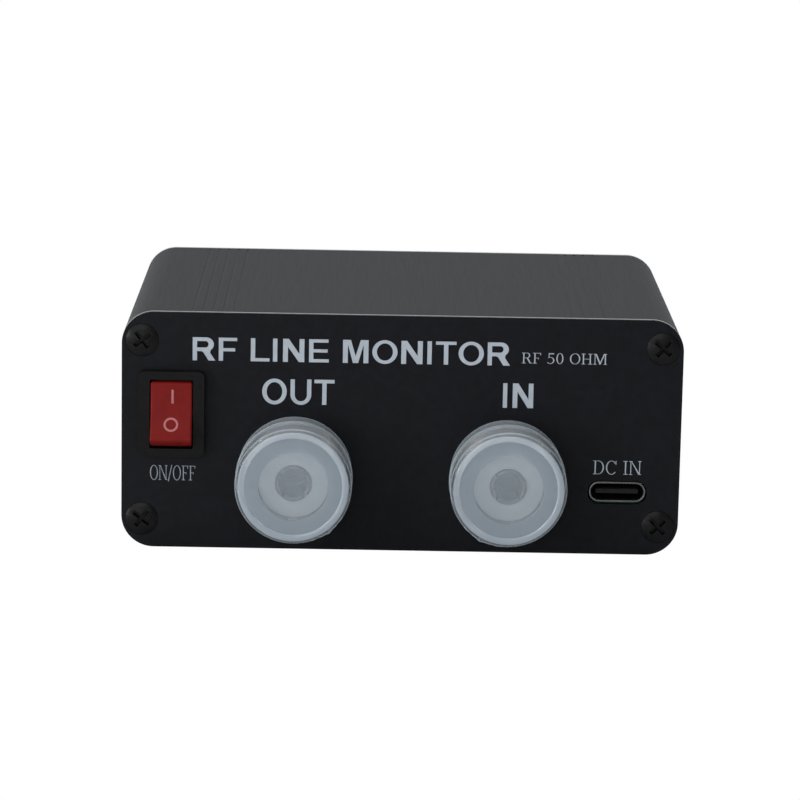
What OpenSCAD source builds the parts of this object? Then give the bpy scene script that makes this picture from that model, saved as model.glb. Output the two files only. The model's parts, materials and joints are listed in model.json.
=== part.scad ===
// Desktop standing-wave-ratio and power meter for a radio transmitter.
// Axes: +X to the right when facing the connector panel, connector panel towards -Y,
// display panel towards +Y, +Z up. Origin: centre of the case's underside.
// All sizes are in millimetres.

/* [Case] */
// Outside width of the case and its panels
case_w = 88; // [84:0.5:96]
// Outside height of the case and its panels
case_h = 37.8; // [36:0.1:42]
// Length of the extruded shells, without the panels
shell_l = 60; // [58:1:80]
// Radius of the case's long corners
corner_r = 5.1; // [4:0.1:6]
// Thickness of the extruded walls
wall_t = 1.6; // [1.4:0.1:1.8]
// Thickness of each end panel
panel_t = 1.2; // [1:0.1:1.5]

/* [Case trim] */
// Number of fine grooves in each group on the top and bottom faces
groove_count = 5; // [0:1:6]
// Distance from groove to groove
groove_pitch = 1.6; // [1.2:0.1:2]
// Width of one groove
groove_w = 0.4; // [0.3:0.1:0.8]
// Depth of one groove
groove_depth = 0.1; // [0.1:0.1:0.5]

/* [Screws] */
// Panel screw position either side of the middle
screw_x = 40.8; // [40.6:0.1:41]
// Panel screw position above and below the middle
screw_z = 14.35; // [14.2:0.05:14.4]
// Diameter of the countersunk screw head
screw_head_d = 5.2; // [4.8:0.1:5.4]

/* [Antenna sockets] */
// Distance of each socket from the middle of the panel
socket_x = 16.7; // [16:0.1:18]
// Height of the sockets' axis above the case's underside
socket_z = 12.5; // [12:0.1:13]
// Outside diameter of the sockets' threaded barrel, 5/8 inch
barrel_d = 15.875; // [15.8:0.005:15.9]
// How far the barrel stands out of the panel
barrel_out = 9.2; // [8:0.1:9.4]
// Bore of the centre contact that takes the plug's 4 mm pin
contact_bore_d = 4.1; // [4:0.05:4.2]

/* [Dust caps] */
// How far a fitted dust cap stands out of the panel
cap_out = 10.7; // [10.5:0.1:12]
// Inside diameter of the dust cap
cap_bore_d = 16; // [15.98:0.01:16.05]
// Outside diameter of the cap at its open end
cap_d = 18; // [17.6:0.1:18.4]

/* [Power switch] */
// Middle of the switch, left of the panel's middle
switch_x = -36.1; // [-36.4:0.1:-35.8]
// Middle of the switch above the case's underside
switch_z = 21.75; // [20:0.05:23]
// Width of the switch bezel
bezel_w = 10.3; // [10:0.1:10.6]
// Height of the switch bezel
bezel_h = 13.6; // [13.4:0.1:14]
// Angle the rocker leans either side of its middle
rocker_tilt = 12.5; // [10:0.5:13]

/* [Display] */
// Width of the window opening
window_w = 24; // [22:0.5:25]
// Height of the window opening
window_h = 13.5; // [12:0.5:15]
// Middle of the window above the case's underside
window_z = 20.7; // [20:0.1:21]

/* [Charging port] */
// Middle of the charging port, right of the panel's middle
usb_x = 34.2; // [33.8:0.1:34.6]
// Middle of the charging port above the case's underside
usb_z = 10.15; // [10:0.05:10.3]

/* [Hidden] */
$fn = 64;
eps = 0.01;
mid_z = case_h / 2;
shell_half = shell_l / 2;
front_y = -shell_half - panel_t;
rear_y = shell_half + panel_t;
inner_x = case_w / 2 - wall_t;
groove_start_x = 26.6;

// screw bosses and board ribs inside the shells
boss_r = 2.3;
thread_hole_r = 1.25;
screw_shank_r = 1.2;
screw_clear_r = 1.6;
screw_l = 9;
head_h = 1.05;
head_rim = 0.15;
sink_gap = 0.03;
rib_reach = 1.5;
board_t = 1.6;
board_top = usb_z - 1.63;
lip_t = 0.75;
lip_h = 1.2;

// sockets
flange_w = 18;
flange_t = 2.4;
mouth_r = 5.6;
insulator_r = 5;
insulator_face_y = front_y - barrel_out + 1.3;
contact_r = 2.8;
contact_depth = 8;
coupler_y = -25.2;
leg_reach = 7.2;
leg_r = 0.6;
pin_end_y = -22.6;

// caps
cap_wall_end = 1.2;
cap_gap = 0.1;

// rocker, seen from its pivot
pivot_y = front_y;
bezel_t = 1.6;
rocker_w = 6.5;
rocker_r = 5.3;
corner_u = 4.5;
corner_out = 2.79;
valley_out = corner_out - corner_u * tan(rocker_tilt);
pivot_pin_r = 0.8;
cavity_half_w = 3.4;
cavity_half_h = 5.5;
body_half_w = 4.35;
body_half_h = 6.35;
body_back_y = -19.5;
floor_t = 1.2;
plunger_tip = 6.6;
seesaw_y = -24.5;
seesaw_t = 0.4;
seesaw_pivot_y = seesaw_y + 0.6;
fulcrum_r = 0.15;
seesaw_tilt = rocker_tilt * 0.64;
blade_w = 3.6;
blade_t = 0.6;
low_blade_drop = 4.2;
blade_end_y = -13.5;

// charging port
port_w = 8.94;
port_h = 3.26;
port_r = 1.6;
port_l = 7.3;
port_wall = 0.3;
slot_gap = 0.17;
tongue_w = 6.69;
tongue_t = 0.7;
tongue_root_y = front_y + 5.4;

// boards
main_front_y = -12;
main_rear_y = 25.2;
main_half_w = 41.9;
tab_left_x = 27.9;
tab_front_y = -29.8;
coupler_half_w = 27;
coupler_low_z = 2.6;
coupler_top_z = 22;
coupler_back_y = coupler_y + board_t;

// coupler cores
core_r = 4.75;
core_bore_r = 2.375;
core_h = 3.2;
line_y = -17.7;
line_z = 15.5;
current_core_x = -8;
voltage_core_y = -23;
voltage_core_z = 8.2;
turn_count = 10;

// display stack, from the panel inwards
pane_t = 1;
gasket_t = 0.3;
glass_t = 1.4;
oled_t = 1.2;
pane_y = shell_half - pane_t;
gasket_y = pane_y - gasket_t;
glass_y = gasket_y - glass_t;
oled_y = glass_y - oled_t;
oled_mid_z = 22.1;
pin_pitch = 2.54;
pin_row_y = 21.85;
pin_half = 0.32;
hole_half = 0.36;
bend_z = 10.6;

// battery and its plug
battery_top_z = case_h - wall_t - 0.6;
battery_h = 10;
battery_front_y = -11;
plug_x = -2;
plug_z = board_top + 2.4;
lead_half_gap = 1;

// hand-laid routes of the inside wires
line_route = [
    [-socket_x, pin_end_y, socket_z], [-socket_x, -21.8, socket_z], [-socket_x, -19.4, 13.4],
    [-14.6, line_y, 15.2], [-11, line_y, line_z], [-6, line_y, line_z], [0, line_y, line_z],
    [8, line_y, line_z], [14.6, line_y, 15.2], [socket_x, -19.4, 13.4],
    [socket_x, -21.8, socket_z], [socket_x, pin_end_y, socket_z]
];
battery_route = [
    [0, battery_front_y, 30.6], [0, -11.8, 30.6], [0, -13.6, 29.4], [0, -14.2, 26],
    [0, -14, 20], [0, -13.8, 15], [0, -12.8, 12], [0, -10.8, 10.9], [0, -10, 10.9]
];
upper_lead_route = [
    [switch_x, blade_end_y, switch_z], [switch_x, -12.7, switch_z], [-35.8, -10.6, 20.6],
    [-35, -8.2, 16.5], [-34.4, -7, 12], [-34.3, -7, 9.6], [-34.3, -7, board_top]
];
lower_lead_route = [
    [switch_x, blade_end_y, switch_z - low_blade_drop],
    [switch_x, -12.7, switch_z - low_blade_drop], [-36.5, -11, 16.6],
    [-37.2, -9, 13.6], [-37.5, -8, 11], [-37.5, -8, 9.6], [-37.5, -8, board_top]
];
sense_route = [
    [23.4, coupler_back_y, 16.5], [23.4, -22.8, 16.5], [23.4, -19, 15.4], [23.4, -13.6, 12],
    [23.4, -10.6, 10.4], [23.4, -10, 9.4], [23.4, -10, board_top]
];

// ---- shared shapes ----

// Rounded rectangle about the origin with true arc corners
module rounded_rect(w, h, r) {
    square([w - 2 * r, h], center = true);
    square([w, h - 2 * r], center = true);
    for (sx = [-1, 1], sy = [-1, 1])
        translate([sx * (w / 2 - r), sy * (h / 2 - r)]) circle(r);
}

// Extrudes an X-Z outline from y0 to the larger y1
module along_y(y0, y1) {
    translate([0, y1, 0]) rotate([90, 0, 0]) linear_extrude(y1 - y0) children();
}

// Extrudes a Y-Z outline from x0 to the larger x1
module along_x(x0, x1) {
    translate([x0, 0, 0]) rotate([90, 0, 90]) linear_extrude(x1 - x0) children();
}

// Round rod along Y, or a cone when the two radii differ
module rod_y(r_rear, y0, y1, r_front = -1) {
    translate([0, y1, 0]) rotate([90, 0, 0])
        cylinder(r1 = r_rear, r2 = r_front < 0 ? r_rear : r_front, h = y1 - y0);
}

// Box from its lowest and highest corners
module box(low, high) {
    translate(low) cube(high - low);
}

function unit(v) = v / norm(v);
function tangent(p, i) = unit(p[min(i + 1, len(p) - 1)] - p[max(i - 1, 0)]);
function ring(centre, along, side, r, n) =
    let (a = unit(cross(side, along)), b = cross(along, a))
    [for (k = [0:n - 1]) centre + r * (a * cos(360 * k / n) + b * sin(360 * k / n))];

// Point at share t between p[i] and p[i + 1] on a smooth curve through the points
function curve_point(p, i, t) =
    let (a = p[max(i - 1, 0)], b = p[i], c = p[i + 1], d = p[min(i + 2, len(p) - 1)])
    (2 * b + (c - a) * t + (2 * a - 5 * b + 4 * c - d) * t * t
        + (3 * b - a - 3 * c + d) * t * t * t) / 2;
function smooth(p, steps) = concat(
    [for (i = [0:len(p) - 2], k = [0:steps - 1]) curve_point(p, i, k / steps)],
    [p[len(p) - 1]]
);

// Round wire swept along a path; side is a direction the path never follows
module wire(path, r, side = [1, 0, 0], n = 8) {
    last = len(path) - 1;
    points = [for (i = [0:last]) each ring(path[i], tangent(path, i), side, r, n)];
    start_cap = [[for (k = [0:n - 1]) k]];
    end_cap = [[for (k = [n - 1:-1:0]) last * n + k]];
    walls = [
        for (i = [0:last - 1], k = [0:n - 1])
            let (a = i * n + k, b = a + n, d = i * n + (k + 1) % n, c = d + n)
            each [[a, b, c], [a, c, d]]
    ];
    polyhedron(points, concat(start_cap, walls, end_cap), convexity = 6);
}

// ---- case ----

module case_outline() {
    rounded_rect(case_w, case_h, corner_r);
}

module screw_spots() {
    for (sx = [-1, 1], sz = [-1, 1]) translate([sx * screw_x, sz * screw_z]) children();
}

// Upper half of the extrusion's section, about the middle of the case
module half_section(has_lip) {
    joint_out = inner_x + lip_t;
    difference() {
        union() {
            difference() {
                case_outline();
                rounded_rect(2 * inner_x, case_h - 2 * wall_t, corner_r - wall_t);
            }
            for (s = [-1, 1]) {
                translate([s * screw_x, screw_z]) circle(boss_r);
                translate([s * (screw_x + inner_x + 0.5) / 2, screw_z])
                    square([inner_x + 0.5 - screw_x, 2 * boss_r], center = true);
                translate([s * screw_x, (screw_z + case_h / 2 - wall_t) / 2 + 0.2])
                    square([2 * boss_r, case_h / 2 - wall_t - screw_z + 0.4], center = true);
                for (rib_z = [mid_z - board_top + board_t + 0.7, mid_z - board_top - 0.65])
                    translate([s * (inner_x - rib_reach / 2 + 0.25), rib_z])
                        square([rib_reach + 0.5, 1.1], center = true);
            }
        }
        screw_spots() circle(thread_hole_r);
        translate([-case_w, -2 * case_h]) square([2 * case_w, 2 * case_h]);
        for (s = [-1, 1]) {
            translate([s * case_w / 2, 0]) rotate(45) square(0.5, center = true);
            if (!has_lip)
                translate([s * (inner_x + joint_out + 0.1 - 0.5) / 2, lip_h / 2])
                    square([lip_t + 0.6, lip_h + 0.2], center = true);
            for (i = [0:1:groove_count - 1])
                translate([s * (groove_start_x + i * groove_pitch), case_h / 2])
                    square([groove_w, 2 * groove_depth], center = true);
        }
    }
    if (has_lip)
        for (s = [-1, 1])
            translate([s * (inner_x + lip_t / 2), 0])
                square([lip_t, 2 * lip_h], center = true);
}

module top_shell() {
    color([0.2, 0.2, 0.21]) translate([0, 0, mid_z])
        along_y(-shell_half, shell_half) half_section(false);
}

module bottom_shell() {
    color([0.18, 0.18, 0.19]) translate([0, 0, mid_z]) mirror([0, 0, 1])
        along_y(-shell_half, shell_half) half_section(true);
}

// Countersunk holes for the screws, in a panel whose outer face is at y = 0
module countersinks() {
    for (sx = [-1, 1], sz = [-1, 1]) translate([sx * screw_x, 0, sz * screw_z]) {
        rod_y(screw_clear_r, -eps, panel_t + 1);
        rod_y(screw_head_d / 2 + sink_gap, -eps, head_rim + sink_gap);
        rod_y(screw_shank_r + sink_gap, head_rim + sink_gap, head_h + sink_gap,
            screw_head_d / 2 + sink_gap);
    }
}

module connector_panel() {
    color([0.1, 0.1, 0.11]) difference() {
        translate([0, 0, mid_z]) along_y(front_y, -shell_half) case_outline();
        translate([0, front_y, mid_z]) countersinks();
        for (s = [-1, 1]) translate([s * socket_x, 0, socket_z])
            rod_y(barrel_d / 2 + 0.15, front_y - 1, -shell_half + 1);
        translate([switch_x, 0, switch_z]) along_y(front_y - 1, -shell_half + 1)
            rounded_rect(2 * body_half_w + 0.2, 2 * body_half_h + 0.2, 0.5);
        translate([usb_x, 0, usb_z]) along_y(front_y - 1, -shell_half + 1)
            rounded_rect(port_w + 2 * slot_gap, port_h + 2 * slot_gap, port_r + 0.15);
    }
}

module display_panel() {
    color([0.1, 0.1, 0.11]) difference() {
        translate([0, 0, mid_z]) along_y(shell_half, rear_y) case_outline();
        translate([0, rear_y, mid_z]) mirror([0, 1, 0]) countersinks();
        translate([0, 0, window_z]) along_y(shell_half - 1, rear_y + 1)
            rounded_rect(window_w, window_h, 1);
    }
}

// Countersunk cross-head screw pointing towards +Y, its head's face at y = 0
module panel_screw() {
    difference() {
        union() {
            rod_y(screw_head_d / 2, 0, head_rim);
            rod_y(screw_shank_r, head_rim, head_h, screw_head_d / 2);
            rod_y(screw_shank_r, head_h - eps, screw_l);
        }
        for (turn = [0, 90]) rotate([0, turn, 0])
            box([-1.5, -1, -0.4], [1.5, 0.8, 0.4]);
    }
}

module connector_panel_screws() {
    color([0.08, 0.08, 0.08]) translate([0, front_y, mid_z])
        for (sx = [-1, 1], sz = [-1, 1])
            translate([sx * screw_x, 0, sz * screw_z]) rotate([0, 45, 0]) panel_screw();
}

module display_panel_screws() {
    color([0.08, 0.08, 0.08]) translate([0, rear_y, mid_z]) mirror([0, 1, 0])
        for (sx = [-1, 1], sz = [-1, 1])
            translate([sx * screw_x, 0, sz * screw_z]) rotate([0, 45, 0]) panel_screw();
}

// ---- antenna sockets, drawn about their own axis at x = 0, z = 0 ----

module socket_legs(r, y0, y1) {
    for (sx = [-1, 1], sz = [-1, 1])
        translate([sx * leg_reach, 0, sz * leg_reach]) rod_y(r, y0, y1);
}

module socket_shell() {
    flange_back_y = -shell_half + flange_t;
    difference() {
        union() {
            rod_y(barrel_d / 2, front_y - barrel_out, -shell_half + eps);
            along_y(-shell_half, flange_back_y) rounded_rect(flange_w, flange_w, 1.5);
        }
        rod_y(mouth_r, front_y - barrel_out - 1, insulator_face_y);
        rod_y(insulator_r, insulator_face_y - 1, flange_back_y + 1);
        for (turn = [0, 90]) rotate([0, turn, 0])
            box([-9, front_y - barrel_out - 1, -0.8], [9, front_y - barrel_out + 1, 0.8]);
    }
    socket_legs(leg_r, flange_back_y - eps, coupler_back_y + 0.8);
}

module socket_insulator() {
    difference() {
        rod_y(insulator_r - 0.02, insulator_face_y, -shell_half + flange_t + 1);
        rod_y(contact_r + 0.02, insulator_face_y - 1, -shell_half + flange_t + 2);
    }
}

module socket_contact() {
    contact_front_y = insulator_face_y - 0.4;
    contact_back_y = -shell_half + flange_t + 0.6;
    difference() {
        union() {
            rod_y(contact_r, contact_front_y, contact_back_y);
            rod_y(1.2, contact_back_y - eps, pin_end_y);
        }
        rod_y(contact_bore_d / 2, contact_front_y - 1, contact_front_y + contact_depth);
    }
}

module at_ant() {
    translate([-socket_x, 0, socket_z]) children();
}

module at_tx() {
    translate([socket_x, 0, socket_z]) children();
}

module ant_socket_shell() {
    color([0.72, 0.72, 0.7]) at_ant() socket_shell();
}

module ant_socket_insulator() {
    color([0.93, 0.92, 0.88]) at_ant() socket_insulator();
}

module ant_socket_contact() {
    color([0.8, 0.68, 0.4]) at_ant() socket_contact();
}

module tx_socket_shell() {
    color([0.72, 0.72, 0.7]) at_tx() socket_shell();
}

module tx_socket_insulator() {
    color([0.93, 0.92, 0.88]) at_tx() socket_insulator();
}

module tx_socket_contact() {
    color([0.8, 0.68, 0.4]) at_tx() socket_contact();
}

// ---- dust caps ----

// Cup that slips over the threaded barrel: lip at the open end, bead half way, rounded front
module dust_cap() {
    open_y = front_y - cap_gap;
    closed_y = front_y - cap_out;
    edge_r = 0.8;
    lip_r = cap_d / 2;
    bead_r = lip_r + 0.2;
    depth = cap_out - cap_gap;
    translate([0, open_y, 0]) rotate([90, 0, 0]) difference() {
        union() {
            rotate_extrude() {
                polygon([
                    [0, 0], [lip_r, 0], [lip_r, 0.9], [lip_r - 0.15, 1.2],
                    [lip_r - 0.1, 3.6], [bead_r, 4.1], [bead_r, 4.7], [lip_r - 0.05, 5.2],
                    [lip_r + 0.1, depth - edge_r], [lip_r + 0.1 - edge_r, depth - edge_r],
                    [lip_r + 0.1 - edge_r, depth], [0, depth]
                ]);
                translate([lip_r + 0.1 - edge_r, depth - edge_r]) circle(edge_r);
            }
        }
        translate([0, 0, -1]) cylinder(d = cap_bore_d, h = 1 + depth - cap_wall_end);
        translate([0, 0, depth - 0.2]) cylinder(r = 7.2, h = 1);
    }
}

module ant_cap() {
    color([0.82, 0.86, 0.9]) at_ant() dust_cap();
}

module tx_cap() {
    color([0.82, 0.86, 0.9]) at_tx() dust_cap();
}

// ---- power switch, drawn about its middle at x = 0, z = 0 ----

module at_switch() {
    translate([switch_x, 0, switch_z]) children();
}

module switch_housing() {
    color([0.07, 0.07, 0.07]) at_switch() difference() {
        union() {
            along_y(front_y - bezel_t + 0.5, front_y) rounded_rect(bezel_w, bezel_h, 0.9);
            along_y(front_y - bezel_t, front_y - bezel_t + 0.5)
                rounded_rect(bezel_w - 0.6, bezel_h - 0.6, 0.6);
            along_y(front_y - eps, body_back_y)
                rounded_rect(2 * body_half_w, 2 * body_half_h, 0.6);
            for (s = [0, 1]) mirror([0, 0, s]) along_x(-2, 2)
                polygon([
                    [-shell_half + 0.1, body_half_h - eps], [-shell_half + 0.1, body_half_h + 0.5],
                    [-shell_half + 3, body_half_h - eps]
                ]);
        }
        along_y(front_y - bezel_t - 1, body_back_y - floor_t)
            square([2 * cavity_half_w, 2 * cavity_half_h], center = true);
        rotate([0, 90, 0]) translate([0, pivot_y, 0])
            cylinder(r = pivot_pin_r + 0.05, h = 7.8, center = true);
        for (drop = [0, low_blade_drop])
            translate([0, 0, -drop]) along_y(body_back_y - floor_t - 1, body_back_y + 1)
                square([blade_w + 0.04, blade_t + 0.04], center = true);
    }
}

// Rocker about its pivot, in its middle position: u is up, w is outwards
module rocker_shape() {
    rotate([90, 0, 90]) translate([0, 0, -rocker_w / 2]) linear_extrude(rocker_w)
        intersection() {
            circle(rocker_r);
            polygon([
                [1.2, -rocker_r], [-corner_out, -corner_u - 0.01], [-valley_out, 0],
                [-corner_out, corner_u + 0.01], [1.2, rocker_r]
            ]);
        }
    rotate([0, 90, 0]) cylinder(r = pivot_pin_r, h = 7.6, center = true);
    along_y(1.2 - eps, 4.2) square([4, 3.2], center = true);
}

module at_rocker() {
    at_switch() translate([0, pivot_y, 0]) rotate([-rocker_tilt, 0, 0]) children();
}

module switch_rocker() {
    color([0.75, 0.08, 0.07]) at_rocker() difference() {
        rocker_shape();
        rod_y(0.95, -0.6, 4.3);
    }
}

module switch_plunger() {
    color([0.85, 0.84, 0.8]) at_rocker() {
        rod_y(0.85, 2.6, plunger_tip - 0.7);
        translate([0, plunger_tip - 0.85, 0]) sphere(0.85);
    }
}

module switch_spring() {
    coil_turns = 7;
    steps = 12;
    coil_r = 0.7;
    color([0.7, 0.7, 0.72]) at_rocker() wire(
        [for (k = [0:coil_turns * steps])
            let (a = 360 * k / steps)
            [coil_r * cos(a), -0.45 + 2.9 * k / (coil_turns * steps), coil_r * sin(a)]],
        0.11, side = [0, 1, 0], n = 6
    );
}

module switch_seesaw() {
    color([0.8, 0.55, 0.35]) at_switch()
        translate([0, seesaw_pivot_y, 0]) rotate([seesaw_tilt, 0, 0])
            translate([0, seesaw_y - seesaw_pivot_y, 0]) {
                box([-1.8, 0, -4.2], [1.8, seesaw_t, 4.2]);
                translate([0, seesaw_t - eps, -3.6]) rod_y(0.6, 0, 0.3);
            }
}

// Two blades: the middle one has a round front edge that the see-saw rocks about
module switch_terminals() {
    color([0.78, 0.76, 0.7]) at_switch() {
        translate([0, seesaw_pivot_y, 0]) rotate([0, 90, 0])
            cylinder(r = fulcrum_r, h = blade_w, center = true);
        box([-blade_w / 2, seesaw_pivot_y + 0.05, -blade_t / 2], [blade_w / 2, blade_end_y, blade_t / 2]);
        translate([0, 0, -low_blade_drop])
            box([-blade_w / 2, seesaw_y + 2, -blade_t / 2], [blade_w / 2, blade_end_y, blade_t / 2]);
    }
}

module switch_leads() {
    color([0.7, 0.1, 0.1]) for (route = [upper_lead_route, lower_lead_route])
        wire(smooth(route, 2), 0.6);
}

// ---- charging port ----

module at_usb() {
    translate([usb_x, 0, usb_z]) children();
}

module usb_shell() {
    color([0.75, 0.75, 0.76]) at_usb() difference() {
        along_y(front_y, front_y + port_l) rounded_rect(port_w, port_h, port_r);
        along_y(front_y - 1, front_y + port_l - port_wall)
            rounded_rect(port_w - 2 * port_wall, port_h - 2 * port_wall, port_r - port_wall);
    }
}

module usb_tongue() {
    color([0.05, 0.05, 0.05]) at_usb() {
        along_y(front_y + 0.6, tongue_root_y + 0.6) square([tongue_w, tongue_t], center = true);
        along_y(tongue_root_y, front_y + port_l - port_wall - eps)
            rounded_rect(port_w - 2 * port_wall - 0.04, port_h - 2 * port_wall - 0.04, port_r - port_wall - 0.02);
    }
}

// ---- display ----

module at_window() {
    translate([0, 0, window_z]) children();
}

// The four places across the header row
module at_pins() {
    for (i = [0:3]) translate([(i - 1.5) * pin_pitch, 0, 0]) children();
}

module display_window() {
    color([0.2, 0.25, 0.3, 0.5]) at_window()
        along_y(pane_y, shell_half) rounded_rect(30, 19, 0.8);
}

module display_gasket() {
    color([0.05, 0.05, 0.05]) at_window() along_y(gasket_y, pane_y) difference() {
        rounded_rect(28, 17.6, 0.6);
        rounded_rect(window_w - 0.4, window_h - 0.4, 0.6);
    }
}

module oled_glass() {
    color([0.04, 0.04, 0.06]) at_window()
        along_y(glass_y, gasket_y) rounded_rect(24.7, 16.6, 0.3);
}

module oled_board() {
    color([0.05, 0.12, 0.3]) difference() {
        translate([0, 0, oled_mid_z]) along_y(oled_y, glass_y) rounded_rect(25.2, 26, 0.8);
        for (sx = [-1, 1], dz = [-11, 11]) translate([sx * 10.6, 0, oled_mid_z + dz])
            rod_y(1.1, oled_y - 1, glass_y + 1);
        at_pins() translate([0, 0, bend_z]) rod_y(0.5, oled_y - 1, glass_y + 1);
    }
}

module oled_header_block() {
    color([0.05, 0.05, 0.05]) difference() {
        box(
            [-2 * pin_pitch, pin_row_y - pin_pitch / 2, board_top],
            [2 * pin_pitch, pin_row_y + pin_pitch / 2, board_top + 2.5]
        );
        at_pins() translate([0, pin_row_y, 0])
            box([-hole_half, -hole_half, board_top - 1], [hole_half, hole_half, board_top + 4]);
    }
}

module oled_header_pins() {
    back_y = pin_row_y + pin_half;
    drop_y = 23.8;
    color([0.8, 0.7, 0.4]) at_pins() {
        box([-pin_half, pin_row_y - pin_half, board_top - board_t - 1], [pin_half, back_y, bend_z + 1.3]);
        box([-pin_half, back_y - eps, bend_z + 0.66], [pin_half, drop_y, bend_z + 1.3]);
        box([-pin_half, drop_y - eps, bend_z - pin_half], [pin_half, drop_y + 2 * pin_half, bend_z + 1.3]);
        box([-pin_half, drop_y, bend_z - pin_half], [pin_half, glass_y - 0.1, bend_z + pin_half]);
    }
}

// ---- main board ----

module main_board() {
    color([0.05, 0.3, 0.12]) translate([0, 0, board_top - board_t]) linear_extrude(board_t)
        difference() {
            union() {
                translate([-main_half_w, main_front_y])
                    square([2 * main_half_w, main_rear_y - main_front_y]);
                translate([tab_left_x, tab_front_y])
                    square([main_half_w - tab_left_x, main_front_y - tab_front_y + 1]);
            }
            at_pins() translate([0, pin_row_y]) square(2 * hole_half, center = true);
        }
}

// Flat part on the main board: its middle and its size
module on_board(x, y, size) {
    translate([x - size[0] / 2, y - size[1] / 2, board_top]) cube(size);
}

module mcu_chip() {
    color([0.06, 0.06, 0.06]) on_board(6, 9, [7, 7, 1.4]);
}

module charger_chip() {
    color([0.06, 0.06, 0.06]) on_board(34, -14.5, [5, 4, 1.5]);
}

module power_inductor() {
    color([0.2, 0.2, 0.2]) on_board(34, -6, [5.2, 5.2, 3]);
}

module crystal_can() {
    color([0.75, 0.75, 0.75]) translate([15, 9, board_top]) linear_extrude(3.5)
        rounded_rect(4.6, 10.2, 2.25);
}

module board_capacitors() {
    color([0.6, 0.45, 0.3]) {
        for (i = [0:4]) on_board(-24 + i * 4, 14, [1.6, 0.8, 0.8]);
        for (y = [-9, -3]) on_board(27, y, [3.2, 1.6, 1.6]);
    }
}

module board_resistors() {
    color([0.1, 0.1, 0.1]) for (i = [0:6]) on_board(-24 + i * 3, 8, [0.8, 1.6, 0.5]);
}

// ---- directional coupler ----

module coupler_board() {
    color([0.05, 0.3, 0.12]) difference() {
        box(
            [-coupler_half_w, coupler_y, coupler_low_z],
            [coupler_half_w, coupler_back_y, coupler_top_z]
        );
        for (s = [-1, 1]) translate([s * socket_x, 0, socket_z]) {
            rod_y(1.3, coupler_y - 1, coupler_back_y + 1);
            socket_legs(leg_r + 0.1, coupler_y - 1, coupler_back_y + 1);
        }
    }
}

// Ferrite ring and one turn of its winding, about the Z axis from z = 0 up
module ferrite_ring() {
    difference() {
        cylinder(r = core_r, h = core_h);
        translate([0, 0, -1]) cylinder(r = core_bore_r, h = core_h + 2);
    }
}

module ring_winding() {
    turn_w = 0.5;
    clear = 0.03;
    for (i = [0:turn_count - 1]) rotate([0, 0, i * 300 / turn_count])
        difference() {
            box([core_bore_r - turn_w, -turn_w / 2, -turn_w], [core_r + turn_w, turn_w / 2, core_h + turn_w]);
            box([core_bore_r - clear, -1, -clear], [core_r + clear, 1, core_h + clear]);
        }
}

module at_current_core() {
    translate([current_core_x - core_h / 2, line_y, line_z]) rotate([0, 90, 0]) children();
}

module at_voltage_core() {
    translate([0, voltage_core_y + core_h, voltage_core_z]) rotate([90, 0, 0]) children();
}

module current_core() {
    color([0.25, 0.25, 0.27]) at_current_core() ferrite_ring();
}

module current_winding() {
    color([0.7, 0.35, 0.15]) at_current_core() ring_winding();
}

module voltage_core() {
    color([0.25, 0.25, 0.27]) at_voltage_core() ferrite_ring();
}

module voltage_winding() {
    color([0.7, 0.35, 0.15]) at_voltage_core() ring_winding();
}

module rf_line() {
    color([0.75, 0.1, 0.1]) wire(smooth(line_route, 3), 0.9, side = [0, 0.6, 0.8]);
}

module detector_diodes() {
    color([0.85, 0.45, 0.2]) for (s = [-1, 1]) translate([s * socket_x, -22.2, 17.8]) {
        translate([-1.9, 0, 0]) rotate([0, 90, 0]) cylinder(r = 0.9, h = 3.8);
        for (side = [-1, 1]) {
            translate([side > 0 ? 1.9 - eps : -3.4, 0, 0]) rotate([0, 90, 0])
                cylinder(r = 0.25, h = 1.5 + eps);
            translate([side * 3.4, 0, 0]) {
                sphere(0.25);
                rod_y(0.25, -1.4, 0);
            }
        }
    }
}

module bridge_resistors() {
    color([0.08, 0.08, 0.08]) for (x = [-21.5, 12.2]) for (z = [5.2, 7.6])
        translate([x, coupler_back_y, z]) box([0, 0, -0.8], [3.2, 0.6, 0.8]);
}

module sense_leads() {
    color([0.9, 0.8, 0.2]) for (i = [-1:1]) translate([i * 1.5, 0, 0])
        wire(smooth(sense_route, 2), 0.5);
}

// ---- battery ----

module battery_cell() {
    color([0.75, 0.76, 0.78]) translate([0, 6, battery_top_z - battery_h / 2])
        along_x(-25, 25) rounded_rect(34, battery_h, 3);
}

module battery_tape() {
    color([0.85, 0.85, 0.8]) box([-22, -7, battery_top_z], [22, 19, case_h - wall_t]);
}

module battery_leads() {
    color([0.75, 0.1, 0.1]) for (s = [-1, 1]) translate([plug_x + s * lead_half_gap, 0, 0])
        wire(smooth(battery_route, 2), 0.6);
}

module battery_socket() {
    color([0.9, 0.88, 0.8]) translate([plug_x, 0, board_top]) difference() {
        box([-3.9, -4, 0], [3.9, 3.6, 4.8]);
        box([-3.1, -5, 0.7], [3.1, 1.8, 4.1]);
    }
}

module battery_plug() {
    color([0.9, 0.88, 0.8]) translate([plug_x, 0, board_top]) box([-2.9, -10, 0.8], [2.9, 1.6, 4]);
}

// ---- drawing ----

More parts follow.
